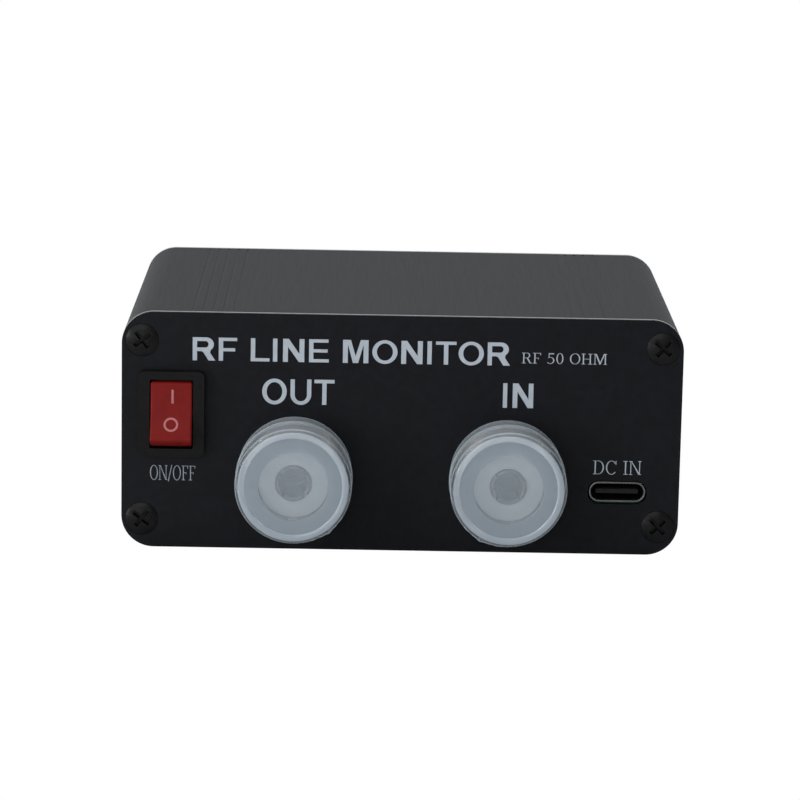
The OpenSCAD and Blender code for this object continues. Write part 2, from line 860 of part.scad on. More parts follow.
top_shell();
bottom_shell();
connector_panel();
display_panel();
connector_panel_screws();
display_panel_screws();
ant_socket_shell();
ant_socket_insulator();
ant_socket_contact();
tx_socket_shell();
tx_socket_insulator();
tx_socket_contact();
ant_cap();
tx_cap();
switch_housing();
switch_rocker();
switch_plunger();
switch_spring();
switch_seesaw();
switch_terminals();
switch_leads();
usb_shell();
usb_tongue();
display_window();
display_gasket();
oled_glass();
oled_board();
oled_header_block();
oled_header_pins();
main_board();
mcu_chip();
charger_chip();
power_inductor();
crystal_can();
board_capacitors();
board_resistors();
coupler_board();
current_core();
current_winding();
voltage_core();
voltage_winding();
rf_line();
detector_diodes();
bridge_resistors();
sense_leads();
battery_cell();
battery_tape();
battery_leads();
battery_socket();
battery_plug();
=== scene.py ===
"""Looks of a desktop SWR meter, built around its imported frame.

Sizes are in millimetres times MM, places come from the frame. Outlines lie in the X-Z plane and
solids run along Y, like the case. The connector panel faces -Y and the display panel +Y.
"""

import json
import math

import bmesh
import bpy
from mathutils import Matrix, Vector


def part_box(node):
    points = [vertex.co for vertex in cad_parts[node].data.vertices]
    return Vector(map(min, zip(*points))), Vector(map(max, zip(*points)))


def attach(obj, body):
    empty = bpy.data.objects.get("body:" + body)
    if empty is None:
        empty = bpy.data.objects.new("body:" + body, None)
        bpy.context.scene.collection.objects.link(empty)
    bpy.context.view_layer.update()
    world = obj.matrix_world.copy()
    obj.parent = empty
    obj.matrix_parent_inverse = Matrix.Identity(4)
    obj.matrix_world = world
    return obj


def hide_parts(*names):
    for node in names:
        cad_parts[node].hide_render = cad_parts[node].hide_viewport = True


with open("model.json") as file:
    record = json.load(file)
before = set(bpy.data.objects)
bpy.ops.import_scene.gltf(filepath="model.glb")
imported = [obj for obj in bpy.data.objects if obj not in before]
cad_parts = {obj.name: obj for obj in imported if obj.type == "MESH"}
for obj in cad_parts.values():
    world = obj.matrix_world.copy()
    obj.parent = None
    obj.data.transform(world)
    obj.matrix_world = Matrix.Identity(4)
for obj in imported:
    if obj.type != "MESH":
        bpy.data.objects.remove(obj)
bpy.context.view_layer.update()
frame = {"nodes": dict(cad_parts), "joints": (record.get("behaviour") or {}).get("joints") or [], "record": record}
MM = 0.001

# ---- places, read from the frame ----

PANEL_LOW, PANEL_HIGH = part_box("connector_panel")
REAR_LOW, REAR_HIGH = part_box("display_panel")
GASKET_LOW, GASKET_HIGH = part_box("display_gasket")
FRONT_Y = PANEL_LOW.y
SHELL_FRONT_Y = PANEL_HIGH.y
SHELL_REAR_Y = REAR_LOW.y
REAR_Y = REAR_HIGH.y
MIDDLE_Z = (PANEL_LOW.z + PANEL_HIGH.z) / 2
WINDOW_Z = (GASKET_LOW.z + GASKET_HIGH.z) / 2
MOUNTS = {m["name"]: Vector(m["pos_m"]) for m in frame["record"]["mounts"]}
JOINTS = {j["name"]: Vector(j.get("pos_m", (0, 0, 0))) for j in frame["joints"]}
SOCKETS = {"ant": MOUNTS["ant_thread"], "tx": MOUNTS["tx_thread"]}
PORT = MOUNTS["charging_port"]
PIVOT = JOINTS["rocker_hinge"]

# ---- driving sizes ----

CASE_W = PANEL_HIGH.x - PANEL_LOW.x
CASE_H = PANEL_HIGH.z - PANEL_LOW.z
CORNER_R = 5.1 * MM
WALL_T = 1.6 * MM
SCREW_X = 40.8 * MM
SCREW_Z = 14.35 * MM
SCREW_HEAD_R = 2.6 * MM
BARREL_R = 7.9375 * MM
THREAD_PITCH = 25.4 * MM / 24
THREAD_DEPTH = 0.55 * MM
SOCKET_MOUTH_R = 5.6 * MM
SOCKET_BORE_R = 5.02 * MM
CONTACT_R = 2.8 * MM
WINDOW_W = 24 * MM
WINDOW_H = 13.5 * MM
ROCKER_TILT = math.radians(12.5)
ROCKER_PIN_R = 0.8 * MM
ROCKER_PIN_HALF = 3.8 * MM
ROCKER_FACE_END = 4.5 * MM
ROCKER_FACE_OUT = 2.79 * MM
ROCKER_VALLEY = ROCKER_FACE_OUT - ROCKER_FACE_END * math.tan(ROCKER_TILT)
CAP_ZONES = ("cap_plastic", "cap_shade_ring", "cap_rim", "cap_side", "cap_shade_line")
INK_PROUD = 0.015 * MM


# ---- outlines: lists of (x, z) points ----

def arc(cx, cz, r, start, end, steps):
    """Points on an arc, with its angles in degrees."""
    turns = [math.radians(start + (end - start) * i / steps) for i in range(steps + 1)]
    return [(cx + r * math.cos(t), cz + r * math.sin(t)) for t in turns]


def circle(cx, cz, r, steps):
    return arc(cx, cz, r, 0, 360, steps)[:-1]


def rounded_rect(w, h, r, cx=0.0, cz=0.0, steps=12):
    points = []
    for sx, sz, start in ((1, 1, 0), (-1, 1, 90), (-1, -1, 180), (1, -1, 270)):
        points += arc(cx + sx * (w / 2 - r), cz + sz * (h / 2 - r), r, start, start + 90, steps)
    return points


# ---- solids ----

def new_object(name, bm):
    """Object of a bmesh, its normals outwards."""
    bmesh.ops.recalc_face_normals(bm, faces=bm.faces)
    mesh = bpy.data.meshes.new(name)
    bm.to_mesh(mesh)
    bm.free()
    obj = bpy.data.objects.new(name, mesh)
    bpy.context.scene.collection.objects.link(obj)
    return obj


def prism(name, outline, holes, y0, y1):
    """Solid from y0 to y1 with an X-Z outline and holes through it."""
    bm = bmesh.new()
    edges = []
    for loop in [outline, *holes]:
        ring = [bm.verts.new((x, y0, z)) for x, z in loop]
        edges += [bm.edges.new(pair) for pair in zip(ring, ring[1:] + ring[:1])]
    filled = bmesh.ops.triangle_fill(bm, use_beauty=True, use_dissolve=False, edges=edges)
    faces = [g for g in filled["geom"] if isinstance(g, bmesh.types.BMFace)]
    pushed = bmesh.ops.extrude_face_region(bm, geom=faces)
    moved = [g for g in pushed["geom"] if isinstance(g, bmesh.types.BMVert)]
    bmesh.ops.translate(bm, verts=moved, vec=(0, y1 - y0, 0))
    return new_object(name, bm)


def cross_prism(name, outline, x0, x1):
    """Solid from x0 to x1 whose outline is a list of (y, z) points."""
    obj = prism(name, outline, [], x0, x1)
    turn = Matrix(((0, 1, 0, 0), (1, 0, 0, 0), (0, 0, 1, 0), (0, 0, 0, 1)))
    obj.data.transform(turn)
    obj.data.flip_normals()
    return obj


def block(name, low, high):
    """Box from corner to corner."""
    outline = [(low[0], low[2]), (high[0], low[2]), (high[0], high[2]), (low[0], high[2])]
    return prism(name, outline, [], low[1], high[1])


def weave_grid(bm, columns):
    """Faces between neighbouring columns of points, the last column meeting the first."""
    made = [[bm.verts.new(p) for p in column] for column in columns]
    for left, right in zip(made, made[1:]):
        for i in range(len(left) - 1):
            bm.faces.new((left[i], left[i + 1], right[i + 1], right[i]))


def close_grid(bm):
    """Merges the seam and the poles, and drops the faces that collapse."""
    bmesh.ops.remove_doubles(bm, verts=bm.verts, dist=1e-7)
    bmesh.ops.dissolve_degenerate(bm, dist=1e-8, edges=bm.edges)


def lathe(name, centre, profile, steps=96):
    """Solid of revolution about the Y line through centre, from (radius, y) points."""
    if profile[0][0] > 0:
        profile = profile + profile[:1]
    bm = bmesh.new()
    columns = []
    for k in range(steps + 1):
        t = math.tau * k / steps
        columns.append([(centre.x + r * math.cos(t), y, centre.z + r * math.sin(t)) for r, y in profile])
    weave_grid(bm, columns)
    close_grid(bm)
    return new_object(name, bm)


def joined(name, pieces):
    """One object out of several."""
    bm = bmesh.new()
    for piece in pieces:
        bm.from_mesh(piece.data)
        bpy.data.objects.remove(piece)
    return new_object(name, bm)


def baked(obj):
    """Applies an object's modifiers."""
    graph = bpy.context.evaluated_depsgraph_get()
    graph.update()
    mesh = bpy.data.meshes.new_from_object(obj.evaluated_get(graph))
    obj.modifiers.clear()
    obj.data = mesh


def carve(obj, cutter):
    """Takes the cutter's solid out of the object."""
    cut = obj.modifiers.new("cut", "BOOLEAN")
    cut.object = cutter
    cut.operation = "DIFFERENCE"
    cut.solver = "EXACT"
    baked(obj)
    bpy.data.objects.remove(cutter)


def soften(obj, width, segments=2, sharp=50):
    """Rounds the sharp edges and shades smoothly over edges flatter than sharp, in degrees."""
    obj.data.shade_smooth()
    if width > 0:
        edge = obj.modifiers.new("edge", "BEVEL")
        edge.width = width
        edge.segments = segments
        edge.limit_method = "ANGLE"
        edge.angle_limit = math.radians(35)
        edge.use_clamp_overlap = True
        baked(obj)
        obj.data.shade_smooth()
    obj.data.set_sharp_from_angle(angle=math.radians(sharp))
    normals = obj.modifiers.new("normals", "WEIGHTED_NORMAL")
    normals.keep_sharp = True
    baked(obj)


def place(obj, body, materials, node=None):
    """Puts a finished piece on its body, standing for its CAD node."""
    for material in materials:
        obj.data.materials.append(material)
    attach(obj, body)
    if node:
        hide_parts(node)


# ---- materials ----

def material_shader(name, base, roughness, metallic=0.0, sockets=None):
    """New material and its shader, with the values that are the same all over."""
    material = bpy.data.materials.new(name)
    material.use_nodes = True
    material.diffuse_color = (*base, 1)
    shader = material.node_tree.nodes["Principled BSDF"]
    shader.inputs["Base Color"].default_value = (*base, 1)
    shader.inputs["Roughness"].default_value = roughness
    shader.inputs["Metallic"].default_value = metallic
    for socket, value in (sockets or {}).items():
        shader.inputs[socket].default_value = value
    return material, shader


def noise_node(tree, per_mm, detail, stretch=(1, 1, 1)):
    """Noise on the piece's own coordinates, with this many cells to the millimetre."""
    place_node = tree.nodes.new("ShaderNodeTexCoord")
    scale = tree.nodes.new("ShaderNodeMapping")
    scale.inputs["Scale"].default_value = [s * per_mm / MM for s in stretch]
    noise = tree.nodes.new("ShaderNodeTexNoise")
    noise.inputs["Scale"].default_value = 1.0
    noise.inputs["Detail"].default_value = detail
    tree.links.new(place_node.outputs["Object"], scale.inputs["Vector"])
    tree.links.new(scale.outputs["Vector"], noise.inputs["Vector"])
    return noise.outputs["Fac"]


def spread(tree, value, low, high):
    """Maps the noise's middle range onto low to high."""
    ranged = tree.nodes.new("ShaderNodeMapRange")
    ranged.inputs["From Min"].default_value = 0.3
    ranged.inputs["From Max"].default_value = 0.7
    ranged.inputs["To Min"].default_value = low
    ranged.inputs["To Max"].default_value = high
    tree.links.new(value, ranged.inputs["Value"])
    return ranged.outputs["Result"]


def tint(tree, value, dark, light):
    """Colour between dark and light."""
    ramp = tree.nodes.new("ShaderNodeValToRGB")
    ramp.color_ramp.elements[0].position = 0.3
    ramp.color_ramp.elements[0].color = (*dark, 1)
    ramp.color_ramp.elements[1].position = 0.7
    ramp.color_ramp.elements[1].color = (*light, 1)
    tree.links.new(value, ramp.inputs["Fac"])
    return ramp.outputs["Color"]


def relief(tree, shader, value, depth):
    """Fine surface relief of this depth in metres."""
    bump = tree.nodes.new("ShaderNodeBump")
    bump.inputs["Distance"].default_value = depth
    bump.inputs["Strength"].default_value = 1.0
    tree.links.new(value, bump.inputs["Height"])
    tree.links.new(bump.outputs["Normal"], shader.inputs["Normal"])


def shade(name, base, roughness, grain, metallic=0.0, shift=0.12, rough_shift=0.08, depth=0.004,
          stretch=(1, 1, 1), sockets=None):
    """Material whose colour, roughness and relief vary with a grain of so many cells a millimetre."""
    material, shader = material_shader(name, base, roughness, metallic, sockets)
    tree = material.node_tree
    coarse = noise_node(tree, grain * 0.13, 2.0, stretch)
    fine = noise_node(tree, grain, 4.0, stretch)
    dark = [c * (1 - shift) for c in base]
    light = [min(1.0, c * (1 + shift)) for c in base]
    tree.links.new(tint(tree, coarse, dark, light), shader.inputs["Base Color"])
    rough = spread(tree, fine, roughness - rough_shift, roughness + rough_shift)
    tree.links.new(rough, shader.inputs["Roughness"])
    relief(tree, shader, fine, depth * MM)
    return material


def make_materials():
    """A material for each slot of the record, and the extra ones that details need."""
    along = (1, 0.03, 1)
    around = (0.15, 2.0, 0.15)
    return {
        "shell_anodised": shade("shell_anodised", (0.0185, 0.0192, 0.0208), 0.5, 3.0, shift=0.03,
                                rough_shift=0.02, depth=0.0003, stretch=along,
                                sockets={"Specular IOR Level": 0.28}),
        "panel_anodised": shade("panel_anodised", (0.0042, 0.0046, 0.0066), 0.5, 6.0, shift=0.2,
                                depth=0.003, sockets={"Specular IOR Level": 0.12}),
        "bare_edge": shade("bare_edge", (0.6, 0.6, 0.61), 0.4, 5.0, metallic=1.0, depth=0.008),
        "screw_black": shade("screw_black", (0.0034, 0.0034, 0.0039), 0.34, 5.0, shift=0.3, depth=0.008,
                             sockets={"Specular IOR Level": 0.15}),
        "socket_nickel": shade("socket_nickel", (0.4, 0.385, 0.355), 0.36, 4.0, metallic=1.0,
                               shift=0.06, rough_shift=0.04, stretch=around, depth=0.001),
        "socket_insulator": shade("socket_insulator", (0.68, 0.71, 0.73), 0.45, 2.0, shift=0.04),
        "contact_metal": shade("contact_metal", (0.17, 0.13, 0.09), 0.4, 4.0, metallic=1.0),
        "cap_plastic": shade("cap_plastic", (0.355, 0.415, 0.47), 0.3, 1.2, shift=0.04, rough_shift=0.03,
                             depth=0.006, sockets={"Alpha": 0.34}),
        # Darker, milkier plastic for the outer ring of the dish: painted shade of the shadowed gap behind the
        # cap's face.
        "cap_shade_ring": shade("cap_shade_ring", (0.283, 0.342, 0.4), 0.3, 1.2, shift=0.04, rough_shift=0.03,
                          depth=0.006, sockets={"Alpha": 0.55}),
        "cap_rim": shade("cap_rim", (0.43, 0.495, 0.56), 0.14, 1.2, shift=0.04, rough_shift=0.03,
                         depth=0.004, sockets={"Alpha": 0.62, "Specular IOR Level": 1.0}),
        "cap_side": shade("cap_side", (0.6, 0.67, 0.72), 0.12, 1.2, shift=0.05, rough_shift=0.03,
                          depth=0.006, sockets={"Alpha": 0.36, "Specular IOR Level": 1.0}),
        # Nearly clear plastic for the band on the rounded front edge and the inner lip, so that the edge shows a
        # dark line: painted shade.
        "cap_shade_line": shade("cap_shade_line", (0.5, 0.56, 0.6), 0.12, 1.2, shift=0.05, rough_shift=0.03,
                           depth=0.004, sockets={"Alpha": 0.14, "Specular IOR Level": 1.0}),
        "switch_black": shade("switch_black", (0.0038, 0.0036, 0.0042), 0.4, 7.0, shift=0.2, depth=0.006,
                              sockets={"Specular IOR Level": 0.12}),
        "rocker_red": shade("rocker_red", (0.15, 0.0088, 0.0078), 0.42, 4.0, shift=0.08, depth=0.003,
                            sockets={"Specular IOR Level": 0.07}),
        "ink_white": shade("ink_white", (0.37, 0.41, 0.455), 0.6, 6.0, shift=0.05, depth=0.001,
                           sockets={"Specular IOR Level": 0.1}),
        "ink_faint": shade("ink_faint", (0.27, 0.3, 0.33), 0.6, 6.0, shift=0.12, depth=0.001,
                           sockets={"Specular IOR Level": 0.1}),
        "ink_rocker": shade("ink_rocker", (0.38, 0.14, 0.145), 0.6, 6.0, shift=0.05, depth=0.001,
                            sockets={"Specular IOR Level": 0.1}),
        "plain_plastic": shade("plain_plastic", (0.72, 0.69, 0.6), 0.48, 2.0, shift=0.05),
        "spring_steel": shade("spring_steel", (0.55, 0.55, 0.57), 0.28, 6.0, metallic=1.0),
        "wire_red": shade("wire_red", (0.42, 0.022, 0.02), 0.42, 3.0),
        "wire_yellow": shade("wire_yellow", (0.68, 0.5, 0.05), 0.42, 3.0),
        "port_steel": shade("port_steel", (0.14, 0.14, 0.145), 0.34, 5.0, metallic=1.0),
        "port_black": shade("port_black", (0.013, 0.013, 0.014), 0.5, 5.0,
                            sockets={"Specular IOR Level": 0.12}),
        "window_clear": clear_pane(),
        "gasket_black": shade("gasket_black", (0.012, 0.012, 0.012), 0.85, 3.0, depth=0.03),
        "display_glass": shade("display_glass", (0.004, 0.004, 0.006), 0.08, 1.0, shift=0.1, depth=0.0),
        "display_lit": lit_pixels(),
        "board_blue": shade("board_blue", (0.012, 0.035, 0.15), 0.35, 3.0, depth=0.008),
        "board_green": shade("board_green", (0.012, 0.1, 0.035), 0.35, 3.0, depth=0.008),
        "chip_black": shade("chip_black", (0.018, 0.018, 0.019), 0.55, 8.0, shift=0.2, depth=0.006),
        "ferrite_grey": shade("ferrite_grey", (0.07, 0.07, 0.075), 0.6, 5.0, shift=0.2, depth=0.02),
        "ceramic_tan": shade("ceramic_tan", (0.42, 0.28, 0.16), 0.5, 4.0, shift=0.1),
        "enamel_copper": shade("enamel_copper", (0.5, 0.18, 0.06), 0.22, 5.0, metallic=0.9),
        "diode_glass": shade("diode_glass", (0.6, 0.2, 0.06), 0.15, 3.0),
        "battery_foil": shade("battery_foil", (0.55, 0.56, 0.58), 0.38, 1.0, metallic=0.9, depth=0.04),
        "foam_white": shade("foam_white", (0.74, 0.73, 0.68), 0.9, 4.0, depth=0.05),
    }


def clear_pane():
    """Smoke-tinted acrylic with the faintest haze."""
    material, shader = material_shader("window_clear", (0.012, 0.013, 0.016), 0.05, 0.0, {"Alpha": 0.3})
    tree = material.node_tree
    haze = noise_node(tree, 0.2, 2.0)
    tree.links.new(spread(tree, haze, 0.03, 0.08), shader.inputs["Roughness"])
    return material


def lit_pixels():
    """Lit display segments, slightly uneven."""
    material, shader = material_shader(
        "display_lit", (0.02, 0.05, 0.08), 0.4, 0.0, {"Emission Strength": 1.6})
    tree = material.node_tree
    uneven = noise_node(tree, 1.5, 1.0)
    glow = tint(tree, uneven, (0.3, 0.72, 0.95), (0.45, 0.85, 1.0))
    tree.links.new(glow, shader.inputs["Emission Color"])
    return material


M = make_materials()


# ---- camera, light and floor ----

def add_camera():
    """Camera in front of the connector panel, a little above it."""
    yaw = math.radians(0.5)
    pitch = math.radians(11.765)
    roll = math.radians(1.096)
    ahead = Vector((math.sin(yaw) * math.cos(pitch), math.cos(yaw) * math.cos(pitch), -math.sin(pitch)))
    side = Vector((math.cos(yaw), -math.sin(yaw), 0))
    over = side.cross(ahead)
    right = side * math.cos(roll) + over * math.sin(roll)
    up = over * math.cos(roll) - side * math.sin(roll)
    data = bpy.data.cameras.new("camera")
    data.sensor_width = 36
    data.lens = 159.28
    camera = bpy.data.objects.new("camera", data)
    spot = Vector((-5.07, -574.99, 137.63)) * MM
    camera.matrix_world = Matrix.Translation(spot) @ Matrix((right, up, -ahead)).transposed().to_4x4()
    bpy.context.scene.collection.objects.link(camera)
    bpy.context.scene.camera = camera


def softbox(name, spot, target, width, height, watts):
    """Rectangular studio light at spot, facing target."""
    data = bpy.data.lights.new(name, "AREA")
    data.shape = "RECTANGLE"
    data.size = width
    data.size_y = height
    data.energy = watts
    light = bpy.data.objects.new(name, data)
    light.location = spot
    light.rotation_euler = (Vector(target) - Vector(spot)).to_track_quat("-Z", "Y").to_euler()
    bpy.context.scene.collection.objects.link(light)


def camera_or_other(tree, seen, other):
    """Shader that shows the camera seen, and everything else other."""
    path = tree.nodes.new("ShaderNodeLightPath")
    mix = tree.nodes.new("ShaderNodeMixShader")
    tree.links.new(path.outputs["Is Camera Ray"], mix.inputs["Fac"])
    tree.links.new(other.outputs[0], mix.inputs[1])
    tree.links.new(seen.outputs[0], mix.inputs[2])
    return mix


def add_world(front, back):
    """White surroundings whose light on the object is weaker from the front than from behind."""
    world = bpy.data.worlds.new("studio")
    bpy.context.scene.world = world
    world.use_nodes = True
    tree = world.node_tree
    ambient = tree.nodes["Background"]
    ambient.inputs["Color"].default_value = (0.93, 0.97, 1.0, 1)
    direction = tree.nodes.new("ShaderNodeTexCoord")
    split = tree.nodes.new("ShaderNodeSeparateXYZ")
    fade = tree.nodes.new("ShaderNodeMapRange")
    fade.inputs["From Min"].default_value = 0.3
    fade.inputs["From Max"].default_value = 1.0
    fade.inputs["To Min"].default_value = front
    fade.inputs["To Max"].default_value = back
    tree.links.new(direction.outputs["Generated"], split.inputs["Vector"])
    tree.links.new(split.outputs["Y"], fade.inputs["Value"])
    tree.links.new(fade.outputs["Result"], ambient.inputs["Strength"])
    white = tree.nodes.new("ShaderNodeBackground")
    white.inputs["Color"].default_value = (1, 1, 1, 1)
    mix = camera_or_other(tree, white, ambient)
    tree.links.new(mix.outputs[0], tree.nodes["World Output"].inputs["Surface"])


def add_floor():
    """Plain pale floor, white to the camera."""
    bm = bmesh.new()
    bmesh.ops.create_grid(bm, x_segments=1, y_segments=1, size=4.0)
    floor = new_object("floor", bm)
    floor.location.z = -0.05 * MM
    material = bpy.data.materials.new("floor")
    material.use_nodes = True
    tree = material.node_tree
    shader = tree.nodes["Principled BSDF"]
    shader.inputs["Base Color"].default_value = (0.6, 0.61, 0.62, 1)
    shader.inputs["Roughness"].default_value = 0.9
    white = tree.nodes.new("ShaderNodeEmission")
    mix = camera_or_other(tree, white, shader)
    tree.links.new(mix.outputs[0], tree.nodes["Material Output"].inputs["Surface"])
    floor.data.materials.append(material)


def add_studio():
    scene = bpy.context.scene
    scene.view_settings.view_transform = "Standard"
    add_camera()
    add_world(0.15, 0.42)
    add_floor()
    middle = (0, 0, MIDDLE_Z)
    softbox("overhead", (0.0, 0.12, 0.75), middle, 0.7, 0.5, 1.6)
    softbox("left_box", (-0.6, -0.22, 0.5), middle, 0.14, 0.22, 1.9)
    softbox("right_box", (0.6, -0.22, 0.52), middle, 0.12, 0.2, 1.5)
    softbox("left_rim", (-0.5, 0.26, 0.3), middle, 0.08, 0.25, 1.6)
    softbox("right_rim", (0.5, 0.26, 0.3), middle, 0.08, 0.25, 1.25)
    softbox("side_glow", (-0.7, -0.6, 0.1), (-0.02, -0.03, MIDDLE_Z), 0.25, 0.3, 3.6)
    softbox("front_box", (-0.15, -0.9, 0.45), middle, 0.6, 0.4, 2.0)
    softbox("low_fill", (-0.3, -0.8, 0.03), (-0.01, -0.03, 0.005), 0.5, 0.12, 0.9)


# ---- case ----

def half_section(side, has_lip):
    """Outline of one shell's section: side is 1 for the top shell and -1 for the bottom one."""
    half_w = CASE_W / 2
    half_h = CASE_H / 2
    inner_x = half_w - WALL_T
    inner_z = half_h - WALL_T
    vee = 0.354 * MM
    lip_x = inner_x + 0.75 * MM
    recess_x = lip_x + 0.1 * MM
    boss_r = 2.3 * MM
    rib = (40.9 * MM, 9.18 * MM, 10.28 * MM)
    groove_w = 0.2 * MM
    groove_depth = 0.1 * MM
    right = [(half_w - vee, 0.0), (half_w, vee)]
    right += arc(half_w - CORNER_R, half_h - CORNER_R, CORNER_R, 0, 90, 28)
    for i in reversed(range(5)):
        x = (26.6 + 1.6 * i) * MM
        right += [(x + groove_w, half_h), (x + 0.6 * groove_w, half_h - groove_depth),
                  (x - 0.6 * groove_w, half_h - groove_depth), (x - groove_w, half_h)]
    inner = [(SCREW_X - boss_r, inner_z)]
    inner += arc(SCREW_X, SCREW_Z, boss_r, 180, 270, 10)
    inner += [(inner_x, SCREW_Z - boss_r), (inner_x, rib[2]), (rib[0], rib[2]), (rib[0], rib[1]),
              (inner_x, rib[1])]
    if has_lip:
        inner += [(inner_x, -1.2 * MM), (lip_x, -1.2 * MM), (lip_x, 0.0)]
    else:
        inner += [(inner_x, 1.3 * MM), (recess_x, 1.3 * MM), (recess_x, 0.0)]
    mirrored = [(-x, z) for x, z in reversed(right)]
    inner_left = [(-x, z) for x, z in reversed(inner)]
    outline = right + mirrored + inner_left + inner
    return [(x, MIDDLE_Z + side * z) for x, z in outline]


def make_shell(node, side, has_lip):
    """Extruded shell with its bosses, ribs and grooves."""
    holes = [circle(s * SCREW_X, MIDDLE_Z + side * SCREW_Z, 1.25 * MM, 24) for s in (-1, 1)]
    shell = prism(node + "_skin", half_section(side, has_lip), holes, SHELL_FRONT_Y, SHELL_REAR_Y)
    soften(shell, 0.08 * MM, 2)
    place(shell, "case", [M["shell_anodised"]], node)


def make_slab(holes, inset, screw_r, y0, y1):
    """One layer of a panel, inset from the panel's outline, with its screw holes."""
    outline = rounded_rect(CASE_W - 2 * inset, CASE_H - 2 * inset, CORNER_R - inset, 0, MIDDLE_Z, 28)
    spots = [(sx * SCREW_X, MIDDLE_Z + sz * SCREW_Z) for sx in (-1, 1) for sz in (-1, 1)]
    screw_holes = [circle(x, z, screw_r, 48) for x, z in spots]
    return prism("slab", outline, holes + screw_holes, min(y0, y1), max(y0, y1))


def make_panel(node, holes, face_y, inner_y):
    """End panel: dark faces, a bare bright cut edge, a fine seam behind it and a painted highlight on the floor of
    the port opening.
    """
    inwards = 1 if inner_y > face_y else -1
    crest_y = face_y + inwards * 0.1 * MM
    seam_y = inner_y - inwards * 0.3 * MM
    head_r = SCREW_HEAD_R + 0.03 * MM
    layers = [make_slab(holes, 0.06 * MM, head_r, face_y, crest_y),
              make_slab(holes, 0.0, head_r, crest_y, seam_y),
              make_slab(holes, 0.25 * MM, 1.6 * MM, seam_y, inner_y)]
    panel = joined(node + "_sheet", layers)
    soften(panel, 0, sharp=20)
    place(panel, "case", [M["panel_anodised"], M["bare_edge"], M["shell_anodised"]], node)
    for face in panel.data.polygons:
        face.material_index = 1 if abs(face.normal.y) < 0.75 and on_rim(face.center) else 0
        # The up-facing floor of the port opening takes the lighter shell finish: a painted highlight where it
        # catches the light from above.
        if face.normal.z > 0.75 and under_port(face.center):
            face.material_index = 2


def under_port(point):
    """True for a point in the panel's opening for the charging port."""
    return abs(point.z - PORT.z) < 2.2 * MM and point.x > 29 * MM


def on_rim(point):
    """True for a point close to the panel's outer outline."""
    x = abs(point.x)
    z = abs(point.z - MIDDLE_Z)
    near = 0.15 * MM
    if x > CASE_W / 2 - CORNER_R and z > CASE_H / 2 - CORNER_R:
        reach = math.hypot(x - CASE_W / 2 + CORNER_R, z - CASE_H / 2 + CORNER_R)
        return reach > CORNER_R - near
    return x > CASE_W / 2 - near or z > CASE_H / 2 - near


def make_panels():
    holes = [circle(spot.x, spot.z, BARREL_R + 0.15 * MM, 96) for spot in SOCKETS.values()]
    holes.append(rounded_rect(8.9 * MM, 12.9 * MM, 0.5 * MM, PIVOT.x, PIVOT.z, 4))
    holes.append(rounded_rect(9.28 * MM, 3.86 * MM, 1.75 * MM, PORT.x, PORT.z - 0.13 * MM, 12))
    make_panel("connector_panel", holes, FRONT_Y, SHELL_FRONT_Y)
    window = [rounded_rect(WINDOW_W, WINDOW_H, 1 * MM, 0, WINDOW_Z, 8)]
    make_panel("display_panel", window, REAR_Y, SHELL_REAR_Y)


def make_screw():
    """Countersunk cross-head screw on the Y axis, pointing towards +Y, head face at y = 0."""
    profile = [(0, 0), (SCREW_HEAD_R - 0.05 * MM, 0), (SCREW_HEAD_R, 0.05 * MM), (SCREW_HEAD_R, 0.15 * MM),
               (1.2 * MM, 1.05 * MM)]
    turns = 12
    pitch = 0.6 * MM
    for i in range(turns):
        start = 1.2 * MM + i * pitch
        profile += [(1.0 * MM, start), (1.18 * MM, start + 0.25 * pitch), (1.0 * MM, start + 0.5 * pitch)]
    profile += [(0.9 * MM, 8.6 * MM), (0.4 * MM, 9 * MM), (0, 9 * MM)]
    screw = lathe("screw", Vector((0, 0, 0)), profile, 48)
    slot_shape = [(-0.2 * MM, -0.36 * MM), (0.85 * MM, -0.22 * MM), (0.85 * MM, 0.22 * MM),
                  (-0.2 * MM, 0.36 * MM)]
    for turn in (0, 90):
        slot = cross_prism("slot", slot_shape, -1.55 * MM, 1.55 * MM)
        slot.data.transform(Matrix.Rotation(math.radians(turn), 4, "Y"))
        carve(screw, slot)
    return screw


def make_screws(node, face_y, inwards, turns):
    """The four screws of one panel."""
    made = []
    for sx in (-1, 1):
        for sz in (-1, 1):
            screw = make_screw()
            spin = Matrix.Rotation(math.radians(turns[len(made)]), 4, "Y")
            flip = Matrix.Rotation(0 if inwards > 0 else math.pi, 4, "Z")
            spot = Matrix.Translation((sx * SCREW_X, face_y, MIDDLE_Z + sz * SCREW_Z))
            screw.data.transform(spot @ flip @ spin)
            made.append(screw)
    screws = joined(node + "_set", made)
    soften(screws, 0)
    place(screws, "case", [M["screw_black"]], node)


# ---- antenna sockets ----

def thread_tooth(phase):
    """Height of a 60 degree thread, 0 to 1, at a phase of one turn."""
    rise = abs((phase % 1.0) - 0.5) * 2
    return min(1.0, max(0.0, 1.15 * rise - 0.08))


